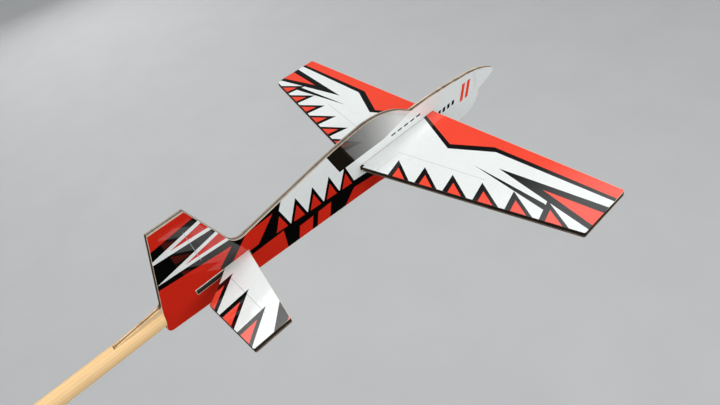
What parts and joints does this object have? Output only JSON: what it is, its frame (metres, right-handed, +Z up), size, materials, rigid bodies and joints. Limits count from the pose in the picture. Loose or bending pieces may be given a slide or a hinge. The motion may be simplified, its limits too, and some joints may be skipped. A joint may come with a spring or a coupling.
{
  "type": "slot-together model aeroplane on a stick",
  "caption": "Flat plywood model aeroplane with printed faces: wing and tailplane slot through an upright fuselage plate, whose tongue sits in a kerf in a round wooden stick.",
  "frame": {"origin": "centre of the free end of the stick, on the stick's axis", "axes": "+X along the stick towards the aeroplane's nose, +Y to the aeroplane's left wing, +Z up along the fin"},
  "size_m": [0.4701, 0.1646, 0.0453],
  "materials": {
    "print_white": "gloss ink film on plywood",
    "print_red": "gloss red ink on the white print film",
    "print_black": "gloss black ink on the white print film",
    "print_grey": "gloss grey ink of the printed canopy glass",
    "ply_face": "light birch veneer, laser-cut edge",
    "ply_core": "dark cross ply, charred by the laser",
    "dowel": "plain sanded softwood dowel"
  },
  "bodies": {
    "stick": {"stick": "dowel"},
    "fuselage": {"fuselage_core": "ply_core", "fuselage_veneer_right": "ply_face", "fuselage_veneer_left": "ply_face", "fuselage_print_right": "print_white", "fuselage_print_left": "print_white"},
    "wing": {"wing_core": "ply_core", "wing_veneer_top": "ply_face", "wing_veneer_bottom": "ply_face", "wing_print_top": "print_white", "wing_print_bottom": "print_white"},
    "tailplane": {"tailplane_core": "ply_core", "tailplane_veneer_top": "ply_face", "tailplane_veneer_bottom": "ply_face", "tailplane_print_top": "print_white", "tailplane_print_bottom": "print_white"}
  },
  "joints": [
    {"name": "fuselage_pull", "type": "slide", "parent": "stick", "child": "fuselage", "axis": [1, 0, 0], "range_m": [0, 0.017]},
    {"name": "wing_slide", "type": "slide", "parent": "fuselage", "child": "wing", "axis": [0, 1, 0], "range_m": [-0.08, 0.08]},
    {"name": "tailplane_slide", "type": "slide", "parent": "fuselage", "child": "tailplane", "axis": [0, 1, 0], "range_m": [-0.032, 0.032]}
  ]
}
